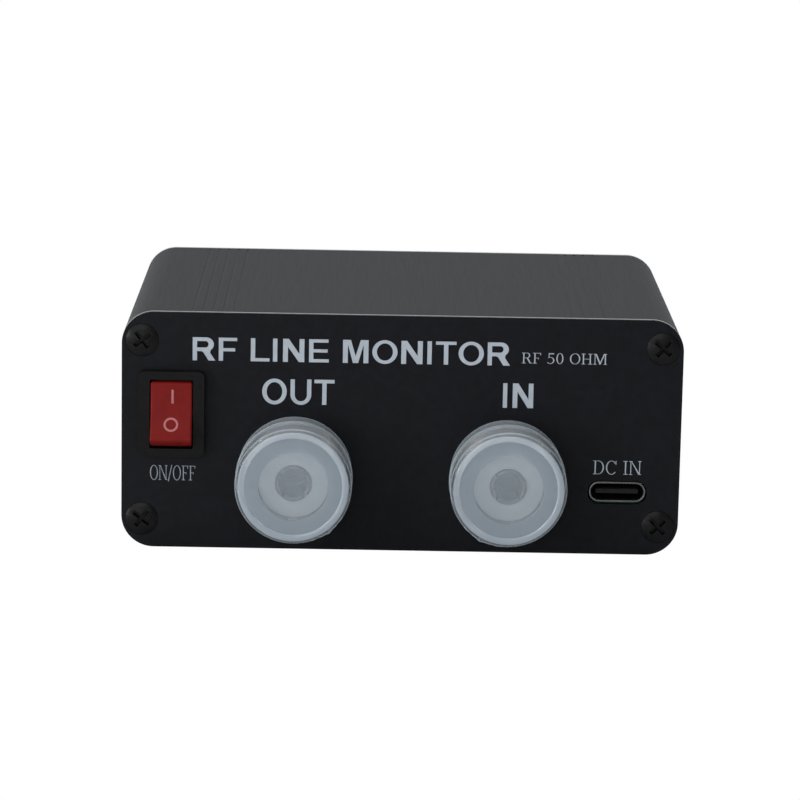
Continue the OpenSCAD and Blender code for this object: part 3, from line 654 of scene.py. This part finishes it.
def thread_columns(centre, y_front, y_back):
    """Closed columns of a threaded barrel: thread outside, two-step bore inside."""
    steps = 96
    rows_per_turn = 8
    rows = int((y_back - y_front) / THREAD_PITCH * rows_per_turn) + 2 * rows_per_turn
    chamfer = 0.35 * MM
    step_y = y_front + 1.62 * MM
    end_y = y_back + 1 * MM
    columns = []
    for k in range(steps + 1):
        share = k / steps
        points = []
        for j in range(-rows_per_turn, rows):
            y = y_front + (j + share * rows_per_turn) / rows_per_turn * THREAD_PITCH
            tooth = thread_tooth((j + rows_per_turn) / rows_per_turn)
            y = min(max(y, y_front), y_back)
            fade = min(1.0, (y - y_front) / chamfer, (y_back - y) / chamfer)
            points.append((BARREL_R - THREAD_DEPTH + THREAD_DEPTH * tooth * fade, y))
        points += [(BARREL_R, y_back), (BARREL_R, end_y), (SOCKET_BORE_R, end_y), (SOCKET_BORE_R, step_y)]
        points += [(SOCKET_MOUTH_R, step_y), (SOCKET_MOUTH_R, y_front + 0.15 * MM)]
        points += [(SOCKET_MOUTH_R + 0.15 * MM, y_front)]
        points.append(points[0])
        angle = math.tau * share
        columns.append([(centre.x + r * math.cos(angle), y, centre.z + r * math.sin(angle))
                        for r, y in points])
    return columns


def make_socket_shell(tag, centre):
    """Threaded barrel with four notches, square flange and legs."""
    node = tag + "_socket_shell"
    low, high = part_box(node)
    reach = Vector((9 * MM, 1 * MM, 0.8 * MM))
    bm = bmesh.new()
    weave_grid(bm, thread_columns(centre, low.y, SHELL_FRONT_Y - 1 * MM))
    close_grid(bm)
    barrel = new_object("barrel", bm)
    for turn in (0, 90):
        notch = block("notch", -reach, reach)
        notch.data.transform(Matrix.Rotation(math.radians(turn), 4, "Y"))
        notch.data.transform(Matrix.Translation((centre.x, low.y, centre.z)))
        carve(barrel, notch)
    flange_w = 18 * MM
    flange_back = SHELL_FRONT_Y + 2.4 * MM
    outline = rounded_rect(flange_w, flange_w, 1.5 * MM, centre.x, centre.z, 8)
    bore = circle(centre.x, centre.z, SOCKET_BORE_R, 96)
    flange = prism("flange", outline, [bore], SHELL_FRONT_Y, flange_back)
    soften(flange, 0.25 * MM, 3)
    legs = []
    for sx in (-1, 1):
        for sz in (-1, 1):
            foot = centre + Vector((sx * 7.2 * MM, 0, sz * 7.2 * MM))
            profile = [(0, flange_back - 0.1 * MM), (0.6 * MM, flange_back - 0.1 * MM),
                       (0.6 * MM, high.y - 0.2 * MM), (0.4 * MM, high.y), (0, high.y)]
            legs.append(lathe("leg", foot, profile, 24))
    shell = joined(tag + "_socket_metal", [barrel, flange, *legs])
    soften(shell, 0)
    place(shell, "case", [M["socket_nickel"]], node)


def make_insulator(tag, centre):
    """Insulator with a softened outer corner."""
    node = tag + "_socket_insulator"
    low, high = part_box(node)
    outer = SOCKET_BORE_R - 0.04 * MM
    hole = CONTACT_R + 0.02 * MM
    flange = SOCKET_MOUTH_R - 0.1 * MM
    profile = [(hole, low.y + 0.15 * MM), (hole + 0.15 * MM, low.y), (flange - 0.1 * MM, low.y),
               (flange, low.y + 0.1 * MM), (flange, low.y + 0.3 * MM), (outer, low.y + 0.3 * MM),
               (outer, high.y - 0.2 * MM), (outer - 0.2 * MM, high.y), (hole, high.y)]
    insulator = lathe(tag + "_socket_core", centre, profile, 96)
    soften(insulator, 0)
    place(insulator, "case", [M["socket_insulator"]], node)


def make_contact(tag, centre):
    """Centre contact: a bored sleeve, slotted into four fingers, and its solder pin."""
    node = tag + "_socket_contact"
    low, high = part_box(node)
    bore = 2.05 * MM
    floor_y = low.y + 8 * MM
    neck_y = SHELL_FRONT_Y + 3 * MM
    profile = [(0, floor_y), (bore, floor_y), (bore, low.y + 0.25 * MM), (bore + 0.25 * MM, low.y),
               (CONTACT_R - 0.15 * MM, low.y), (CONTACT_R, low.y + 0.15 * MM), (CONTACT_R, neck_y),
               (1.2 * MM, neck_y), (1.2 * MM, high.y - 0.2 * MM), (1.0 * MM, high.y), (0, high.y)]
    contact = lathe(tag + "_socket_sleeve", centre, profile, 64)
    for turn in (45, 135):
        slot = block("slot", (-4 * MM, -1 * MM, -0.2 * MM), (4 * MM, 4.5 * MM, 0.2 * MM))
        slot.data.transform(Matrix.Rotation(math.radians(turn), 4, "Y"))
        slot.data.transform(Matrix.Translation((centre.x, low.y, centre.z)))
        carve(contact, slot)
    soften(contact, 0)
    place(contact, "case", [M["contact_metal"]], node)


# ---- dust caps ----

def make_cap(tag, centre, flash_angle):
    """Moulded cup: lip, bead, rounded rim with a nearly clear band that shows as a painted dark shade line,
    shallow dished face with a ring of painted shade, and a little flash.
    """
    node = tag + "_cap"
    low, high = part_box(node)
    depth = high.y - low.y
    lip_r = 9 * MM
    bead_r = 9.2 * MM
    bore_r = 8 * MM
    edge_r = 0.8 * MM
    front_r = lip_r + 0.1 * MM
    dish_r = 7.6 * MM
    dish = 0.2 * MM
    wall_end = 1.2 * MM
    outer = [(bore_r + 0.1 * MM, 0), (lip_r - 0.12 * MM, 0), (lip_r, 0.12 * MM), (lip_r, 0.85 * MM)]
    outer += [(lip_r - 0.15 * MM, 1.2 * MM), (lip_r - 0.1 * MM, 3.5 * MM)]
    bead_mid = 4.4 * MM
    outer += [(bead_r - 0.3 * MM + 0.3 * MM * math.cos(t), bead_mid + 0.75 * MM * math.sin(t))
              for t in [math.radians(a) for a in range(-80, 81, 20)]]
    outer += [(lip_r - 0.08 * MM, 5.6 * MM), (front_r, depth - edge_r - 0.3 * MM)]
    outer += arc(front_r - edge_r, depth - edge_r, edge_r, 0, 90, 8)
    face = [(dish_r + 0.25 * MM, depth), (dish_r + 0.1 * MM, depth - 0.05 * MM), (dish_r, depth - dish)]
    face += [(5.4 * MM, depth - dish), (5.2 * MM, depth - dish + 0.06 * MM),
             (2 * MM, depth - dish + 0.08 * MM), (0, depth - dish + 0.08 * MM)]
    inside = [(0, depth - wall_end), (bore_r - 0.5 * MM, depth - wall_end),
              (bore_r, depth - wall_end - 0.5 * MM), (bore_r, 0.1 * MM)]
    cup = lathe(tag + "_cap_cup", centre, pole_first(outer, face, inside, high.y), 160)
    add_flash(cup, centre, low.y, flash_angle)
    soften(cup, 0)
    place(cup, node, [M[zone] for zone in CAP_ZONES], node)
    for face in cup.data.polygons:
        reach = math.hypot(face.center.x - centre.x, face.center.z - centre.z)
        on_front = face.center.y < low.y + 0.75 * MM
        on_lip = face.center.y > high.y - 0.9 * MM
        zone = cap_zone(reach, dish_r, on_front, on_lip)
        face.material_index = CAP_ZONES.index(zone)


def cap_zone(reach, dish_r, on_front, on_lip):
    """Material of a cap's face at a distance from its axis: milkier at the thick rim, lip and bead crest; darker
    and milkier in the dish's outer ring, as painted shade of the gap behind the face; nearly clear on the rounded
    front edge, so that it shows as a painted dark shade line.
    """
    if reach < dish_r:
        # The outer ring of the dish, past 5.4 mm, takes the darker, milkier plastic: painted shade of the gap
        # behind it.
        return "cap_shade_ring" if on_front and reach > 5.4 * MM else "cap_plastic"
    # The band on the rounded front edge, and the inner lip, take the nearly clear plastic, which shows as a thin
    # dark line: painted shade on the rounding.
    if (on_front and 8.6 * MM < reach < 8.95 * MM) or (on_lip and reach < 8.9 * MM):
        return "cap_shade_line"
    return "cap_rim" if on_front or on_lip or reach > 9.12 * MM else "cap_side"


def pole_first(outer, face, inside, open_y):
    """The cup's profile as (radius, y), from the inner pole round the rim to the outer pole."""
    loop = list(reversed(face)) + list(reversed(outer)) + list(reversed(inside))
    return [(r, open_y - d) for r, d in loop]


def add_flash(cup, centre, front_y, flash_angle):
    """Ragged moulding flash on the front rim, about flash_angle in degrees."""
    for vertex in cup.data.vertices:
        x = vertex.co.x - centre.x
        z = vertex.co.z - centre.z
        if math.hypot(x, z) < 8.8 * MM or vertex.co.y > front_y + 1.6 * MM:
            continue
        off = math.degrees(math.atan2(z, x)) - flash_angle
        off = (off + 180) % 360 - 180
        ragged = 0.5 + 0.3 * math.cos(math.radians(off * 17)) + 0.2 * math.cos(math.radians(off * 41))
        swell = 1 + 0.032 * ragged * math.exp(-(off / 16) ** 2)
        vertex.co.x = centre.x + x * swell
        vertex.co.z = centre.z + z * swell


# ---- power switch ----

def make_housing():
    """Bezel with a rounded rim, body, cavity and snap-in wedges."""
    node = "switch_housing"
    low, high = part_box(node)
    cx, cz = PIVOT.x, PIVOT.z
    floor_y = high.y - 1.2 * MM
    cavity = rounded_rect(6.8 * MM, 11 * MM, 0.25 * MM, cx, cz, 3)
    bezel = prism("bezel", rounded_rect(10.3 * MM, 13.6 * MM, 0.9 * MM, cx, cz, 8), [cavity], low.y, FRONT_Y)
    soften(bezel, 0.6 * MM, 4)
    body_shape = rounded_rect(8.7 * MM, 12.7 * MM, 0.6 * MM, cx, cz, 6)
    body = prism("body", body_shape, [cavity], FRONT_Y, floor_y)
    floor_holes = [rounded_rect(3.64 * MM, 0.64 * MM, 0.1 * MM, cx, cz - drop, 2) for drop in (0, 4.2 * MM)]
    floor = prism("floor", body_shape, floor_holes, floor_y, high.y)
    bore_r = ROCKER_PIN_R + 0.05 * MM
    bore_half = ROCKER_PIN_HALF + 0.1 * MM
    bore_profile = [(0, -bore_half), (bore_r, -bore_half), (bore_r, bore_half), (0, bore_half)]
    for piece in (bezel, body):
        bore = lathe("bore", Vector((0, 0, 0)), bore_profile, 32)
        bore.data.transform(Matrix.Translation(PIVOT) @ Matrix.Rotation(math.pi / 2, 4, "Z"))
        carve(piece, bore)
    pieces = [bezel, body, floor]
    for side in (-1, 1):
        edge_z = side * 6.34 * MM
        wedge = cross_prism("wedge", [(SHELL_FRONT_Y + 0.1 * MM, cz + edge_z),
                                      (SHELL_FRONT_Y + 0.1 * MM, cz + edge_z + side * 0.5 * MM),
                                      (SHELL_FRONT_Y + 3 * MM, cz + edge_z)], cx - 2 * MM, cx + 2 * MM)
        pieces.append(wedge)
    housing = joined("switch_frame", pieces)
    soften(housing, 0)
    place(housing, "case", [M["switch_black"]], node)


def rocker_outline():
    """Rocker's (y, z) outline about its pivot: two flat faces that meet in a valley, round back."""
    back = 1.2 * MM
    radius = 5.3 * MM
    end = math.degrees(math.atan2(ROCKER_FACE_END, ROCKER_FACE_OUT))
    back_angle = math.degrees(math.acos(-back / radius))
    upper = [(-y, z) for y, z in arc(0, 0, radius, back_angle, end, 10)]
    lower = [(y, -z) for y, z in reversed(upper)]
    return upper + [(-ROCKER_VALLEY, 0.0)] + lower


def make_rocker():
    """Red rocker with the boss for its plunger, and its pin."""
    tilt = Matrix.Translation(PIVOT) @ Matrix.Rotation(-ROCKER_TILT, 4, "X")
    half_w = 3.25 * MM
    bore_profile = [(0, 0), (0.95 * MM, 0), (0.95 * MM, 5 * MM), (0, 5 * MM)]
    pin_end = ROCKER_PIN_HALF - 0.1 * MM
    pin_profile = [(0, -ROCKER_PIN_HALF), (0.7 * MM, -ROCKER_PIN_HALF), (ROCKER_PIN_R, -pin_end),
                   (ROCKER_PIN_R, pin_end), (0.7 * MM, ROCKER_PIN_HALF), (0, ROCKER_PIN_HALF)]
    key = cross_prism("key", rocker_outline(), -half_w, half_w)
    soften(key, 0.3 * MM, 4)
    boss = block("boss", (-2 * MM, 1.1 * MM, -1.6 * MM), (2 * MM, 4.2 * MM, 1.6 * MM))
    carve(boss, lathe("bore", Vector((0, 0, 0)), bore_profile, 32))
    soften(boss, 0.1 * MM, 2)
    pin = lathe("pin", Vector((0, 0, 0)), pin_profile, 32)
    pin.data.transform(Matrix.Rotation(math.pi / 2, 4, "Z"))
    rocker = joined("switch_rocker_key", [key, boss, pin])
    rocker.data.transform(tilt)
    soften(rocker, 0)
    place(rocker, "rocker", [M["rocker_red"]], "switch_rocker")
    mark_rocker(tilt)


def mark_rocker(tilt):
    """On and off marks printed on the rocker's two flat faces."""
    bar_shape = rounded_rect(0.36 * MM, 2.2 * MM, 0.1 * MM, 0.2 * MM, 0, 4)
    for name, side, along, outline, holes in (
            ("mark_on", 1, 2.5 * MM, bar_shape, []),
            ("mark_off", -1, 2.0 * MM, circle(0, 0, 1.14 * MM, 48), [circle(0, 0, 0.82 * MM, 48)])):
        ink = prism(name, outline, holes, -0.02 * MM, 0.02 * MM)
        slope = Matrix.Rotation(side * ROCKER_TILT, 4, "X")
        out = ROCKER_VALLEY + along * math.sin(ROCKER_TILT)
        up = side * along * math.cos(ROCKER_TILT)
        ink.data.transform(tilt @ Matrix.Translation((0, -out, up)) @ slope)
        soften(ink, 0)
        place(ink, "rocker", [M["ink_rocker"]])


# ---- charging port ----

def make_port():
    """Rolled steel shell with softened edges, and the tongue with its contact fingers."""
    low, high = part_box("usb_shell")
    outer = rounded_rect(8.94 * MM, 3.26 * MM, 1.6 * MM, PORT.x, PORT.z, 16)
    inner = rounded_rect(8.34 * MM, 2.66 * MM, 1.3 * MM, PORT.x, PORT.z, 16)
    tube = prism("tube", outer, [inner], low.y, high.y - 0.3 * MM)
    back = prism("back", outer, [], high.y - 0.3 * MM, high.y)
    soften(tube, 0.06 * MM, 2)
    shell = joined("port_shell", [tube, back])
    soften(shell, 0)
    place(shell, "case", [M["port_steel"]], "usb_shell")
    tongue_low, tongue_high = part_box("usb_tongue")
    root_y = low.y + 5.4 * MM
    blade = prism("blade", rounded_rect(6.69 * MM, 0.7 * MM, 0.15 * MM, PORT.x, PORT.z, 4), [],
                  tongue_low.y, root_y + 0.5 * MM)
    soften(blade, 0.08 * MM, 2)
    root = prism("root", rounded_rect(8.3 * MM, 2.62 * MM, 1.28 * MM, PORT.x, PORT.z, 12), [], root_y,
                 tongue_high.y)
    tongue = joined("port_tongue", [blade, root])
    soften(tongue, 0)
    place(tongue, "case", [M["port_black"]], "usb_tongue")
    fingers = []
    for side in (-1, 1):
        for i in range(12):
            x = PORT.x + (i - 5.5) * 0.5 * MM
            z = PORT.z + side * 0.35 * MM
            fingers.append(block("finger", (x - 0.12 * MM, tongue_low.y + 0.5 * MM, z - 0.03 * MM),
                                 (x + 0.12 * MM, root_y, z + 0.03 * MM)))
    pads = joined("port_fingers", fingers)
    soften(pads, 0)
    place(pads, "case", [M["contact_metal"]])


# ---- printed legends ----
# A letter is its advance and its pieces, each an outline with holes, for a cap height of 1.

def bar(x0, z0, x1, z1):
    """Upright rectangle."""
    return [(x0, z0), (x1, z0), (x1, z1), (x0, z1)], []


def oval(cx, cz, rx, rz, start=0, end=360, steps=36):
    return [(cx + rx * x, cz + rz * z) for x, z in arc(0, 0, 1, start, end, steps)]


def bow(cx, cz, rx, rz, side_t, end_t, start=-90, end=90):
    """Part of an oval ring that is side_t thick at its sides and end_t at its top and foot."""
    outer = oval(cx, cz, rx, rz, start, end)
    inner = oval(cx, cz, rx - side_t, rz - end_t, start, end)
    return outer + inner[::-1], []


def oval_ring(cx, rx, side_t, end_t):
    """Closed letter O, slightly taller than the letters beside it."""
    rz = 0.515
    return oval(cx, 0.5, rx, rz)[:-1], [oval(cx, 0.5, rx - side_t, rz - end_t)[:-1]]


def bold_letters():
    """Plain heavy letters."""
    t = 0.168
    h = 0.14
    a = 0.09
    u_shape = [(a, 1)] + oval(0.5, 0.39, 0.41, 0.405, 180, 360) + [(0.91, 1), (0.91 - t, 1)]
    u_shape += oval(0.5, 0.39, 0.41 - t, 0.405 - h, 360, 180) + [(a + t, 1)]
    r_shape = [(a, 0), (a + t, 0), (a + t, 0.4), (0.43, 0.4), (0.5, 0.35), (0.7, 0), (0.96, 0), (0.76, 0.33)]
    r_shape += oval(0.61, 0.7, 0.29, 0.3, -55, 90) + [(a, 1)]
    r_hole = [(a + t, 0.56)] + oval(0.58, 0.7, 0.115, 0.14, -90, 90) + [(a + t, 0.84)]
    n_shape = [(a, 0), (a + 0.19, 0), (a + 0.19, 0.66), (0.7, 0), (0.91, 0), (0.91, 1), (0.72, 1),
               (0.72, 0.35), (0.31, 1), (a, 1)]
    m_shape = [(a, 0), (a + 0.19, 0), (a + 0.19, 0.8), (0.48, 0), (0.68, 0), (0.88, 0.8), (0.88, 0),
               (1.07, 0), (1.07, 1), (0.77, 1), (0.58, 0.3), (0.39, 1), (a, 1)]
    e_bars = [bar(a, 0, a + t, 1), bar(a + t, 0, 0.85, h), bar(a + t, 0.43, 0.8, 0.43 + h),
              bar(a + t, 1 - h, 0.83, 1)]
    f_bars = [e_bars[0], bar(a + t, 0.41, 0.72, 0.41 + h), bar(a + t, 1 - h, 0.79, 1)]
    return {
        "R": (1.0, [(r_shape, [r_hole])]),
        "F": (0.85, f_bars),
        "L": (0.85, [bar(a, 0, a + t, 1), bar(a + t, 0, 0.81, h)]),
        "I": (0.385, [bar(a, 0, a + t, 1)]),
        "N": (1.0, [(n_shape, [])]),
        "E": (0.92, e_bars),
        "M": (1.16, [(m_shape, [])]),
        "O": (1.08, [oval_ring(0.54, 0.485, t + 0.01, h)]),
        "T": (0.85, [bar(0.425 - t / 2, 0, 0.425 + t / 2, 1 - h), bar(0.03, 1 - h, 0.82, 1)]),
        "U": (1.0, [(u_shape, [])]),
        " ": (0.38, []),
    }


def serif_post(x, t=0.08, reach=0.1):
    """Stem with a thin serif at its foot and its top."""
    h = 0.04
    return [bar(x - reach, 0, x + t + reach, h), bar(x, h, x + t, 1 - h),
            bar(x - reach, 1 - h, x + t + reach, 1)]


def serif_letters():
    """Light letters with serifs."""
    t = 0.08
    h = 0.04
    n_slant = [(0.15, 1 - h), (0.6, h), (0.6, 0), (0.66, 0), (0.66, 0.12), (0.2, 1 - h)]
    m_vee = [(0.15, 1 - h), (0.44, 0), (0.5, 0), (0.79, 1 - h), (0.72, 1 - h), (0.48, 0.2), (0.25, 1 - h)]
    r_leg = [(0.36, 0.5), (0.47, 0.5), (0.66, h), (0.74, h), (0.74, 0), (0.58, 0)]
    f_arms = [bar(0.33, 1 - h, 0.58, 1), bar(0.53, 0.8, 0.58, 1 - h), bar(0.23, 0.5, 0.44, 0.5 + h),
              bar(0.4, 0.4, 0.44, 0.5)]
    return {
        "R": (0.76, serif_post(0.13) + [bar(0.33, 1 - h, 0.38, 1), bar(0.23, 0.5, 0.38, 0.5 + h), (r_leg, []),
                                        bow(0.38, 0.75, 0.22, 0.25, t, h)]),
        "F": (0.64, serif_post(0.13) + f_arms),
        "H": (0.84, serif_post(0.13) + serif_post(0.6) + [bar(0.23, 0.48, 0.6, 0.48 + h)]),
        "N": (0.82, serif_post(0.1, 0.05, 0.08) + serif_post(0.66, 0.05, 0.08) + [(n_slant, [])]),
        "M": (0.96, serif_post(0.1, 0.05, 0.08) + serif_post(0.79, t, 0.08) + [(m_vee, [])]),
        "D": (0.8, serif_post(0.13) + [bar(0.33, 1 - h, 0.36, 1), bar(0.33, 0, 0.36, h),
                                       bow(0.36, 0.5, 0.36, 0.5, t, h)]),
        "C": (0.76, [bow(0.4, 0.5, 0.35, 0.515, t, h, 40, 320), bar(0.66, 0.72, 0.7, 1)]),
        "O": (0.8, [oval_ring(0.4, 0.35, t, h)]),
        "0": (0.6, [oval_ring(0.3, 0.24, t, h)]),
        "5": (0.6, [bar(0.13, 0.9, 0.5, 1), bar(0.13, 0.55, 0.18, 0.9),
                    bow(0.24, 0.31, 0.28, 0.32, t, h, -140, 125)]),
        "I": (0.4, serif_post(0.15)),
        "/": (0.42, [([(0.02, -0.1), (0.09, -0.1), (0.4, 1.04), (0.33, 1.04)], [])]),
        " ": (0.34, []),
    }


def print_words(name, words, letters, left, right, low, high, ink_name="ink_white"):
    """Printed words on the connector panel, filling a box given in mm from its middle."""
    advance = sum(letters[c][0] for c in words)
    ends = letters[words[0]][0] * 0.09
    wide = (right - left) / (advance - 2 * ends)
    tall = high - low
    cursor = -ends
    made = []
    for c in words:
        for outline, holes in letters[c][1]:
            fitted = [[((left + (cursor + x) * wide) * MM, MIDDLE_Z + (low + z * tall) * MM) for x, z in loop]
                      for loop in (outline, *holes)]
            made.append(prism("letter", fitted[0], fitted[1:], FRONT_Y - INK_PROUD, FRONT_Y + 0.01 * MM))
        cursor += letters[c][0]
    ink = joined(name, made)
    soften(ink, 0)
    place(ink, "case", [M[ink_name]])


def print_legends():
    bold = bold_letters()
    serif = serif_letters()
    print_words("legend_title", "RF LINE MONITOR", bold, -32.9, 16.6, 11.26, 14.93)
    print_words("legend_out", "OUT", bold, -21.8, -10.9, 4.48, 8.49)
    print_words("legend_in", "IN", bold, 15.6, 20.8, 4.52, 8.45)
    print_words("legend_sub", "RF 50 OHM", serif, 18.7, 31.85, 11.69, 13.37)
    print_words("legend_switch", "ON/OFF", serif, -39.45, -32.4, -8.04, -5.70, "ink_faint")
    print_words("legend_port", "DC IN", serif, 30.4, 37.8, -5.92, -3.73)


# ---- the reading on the lit display ----

def digit_bars(strokes):
    """Bars of one seven-segment digit, 0.5 wide and 1 high, strokes named a to g."""
    t = 0.09
    places = {
        "a": bar(t, 1 - t, 0.5 - t, 1),
        "b": bar(0.5 - t, 0.53, 0.5, 0.97),
        "c": bar(0.5 - t, 0.03, 0.5, 0.47),
        "d": bar(t, 0, 0.5 - t, t),
        "e": bar(0, 0.03, t, 0.47),
        "f": bar(0, 0.53, t, 0.97),
        "g": bar(t, 0.5 - t / 2, 0.5 - t, 0.5 + t / 2),
    }
    return [places[stroke][0] for stroke in strokes]


def make_readout():
    """A ratio of 1.2, a power of 50 and a bar of eight steps out of twelve."""
    glass_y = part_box("oled_glass")[1].y
    lit = []
    digits = ((-10.2, 0.3, 5.2, "bc"), (-6.4, 0.3, 5.2, "abged"), (2.4, 1.3, 4.2, "afgcd"),
              (5.4, 1.3, 4.2, "abcdef"))
    for left, low, size, strokes in digits:
        lit += [[(left + x * size, low + z * size) for x, z in outline] for outline in digit_bars(strokes)]
    lit.append(bar(-7.3, 0.3, -6.8, 0.8)[0])
    lit += [bar(-10.2 + 1.7 * i, -4.6, -9 + 1.7 * i, -2.2)[0] for i in range(8)]
    lit += [bar(-10.2 + 1.7 * i, -4.6, -9 + 1.7 * i, -4.3)[0] for i in range(8, 12)]
    made = []
    for outline in lit:
        mirrored = [(-x * MM, WINDOW_Z + z * MM) for x, z in outline]
        made.append(prism("segment", mirrored, [], glass_y, glass_y + 0.03 * MM))
    reading = joined("display_reading", made)
    soften(reading, 0)
    place(reading, "case", [M["display_lit"]])


# ---- everything that keeps its CAD mesh ----

def paint_frame_nodes():
    """Gives each CAD node the material of its slot."""
    for part in frame["record"]["subparts"]:
        obj = frame["nodes"][part["node"]]
        obj.data.materials.clear()
        obj.data.materials.append(M[part["material_slot"]])


add_studio()
paint_frame_nodes()
make_shell("top_shell", 1, False)
make_shell("bottom_shell", -1, True)
make_panels()
make_screws("connector_panel_screws", FRONT_Y, 1, (38, 52, 47, 41))
make_screws("display_panel_screws", REAR_Y, -1, (45, 30, 58, 49))
for tag, spot in SOCKETS.items():
    make_socket_shell(tag, spot)
    make_insulator(tag, spot)
    make_contact(tag, spot)
    make_cap(tag, spot, {"ant": -52, "tx": -118}[tag])
make_housing()
make_rocker()
make_port()
print_legends()
make_readout()
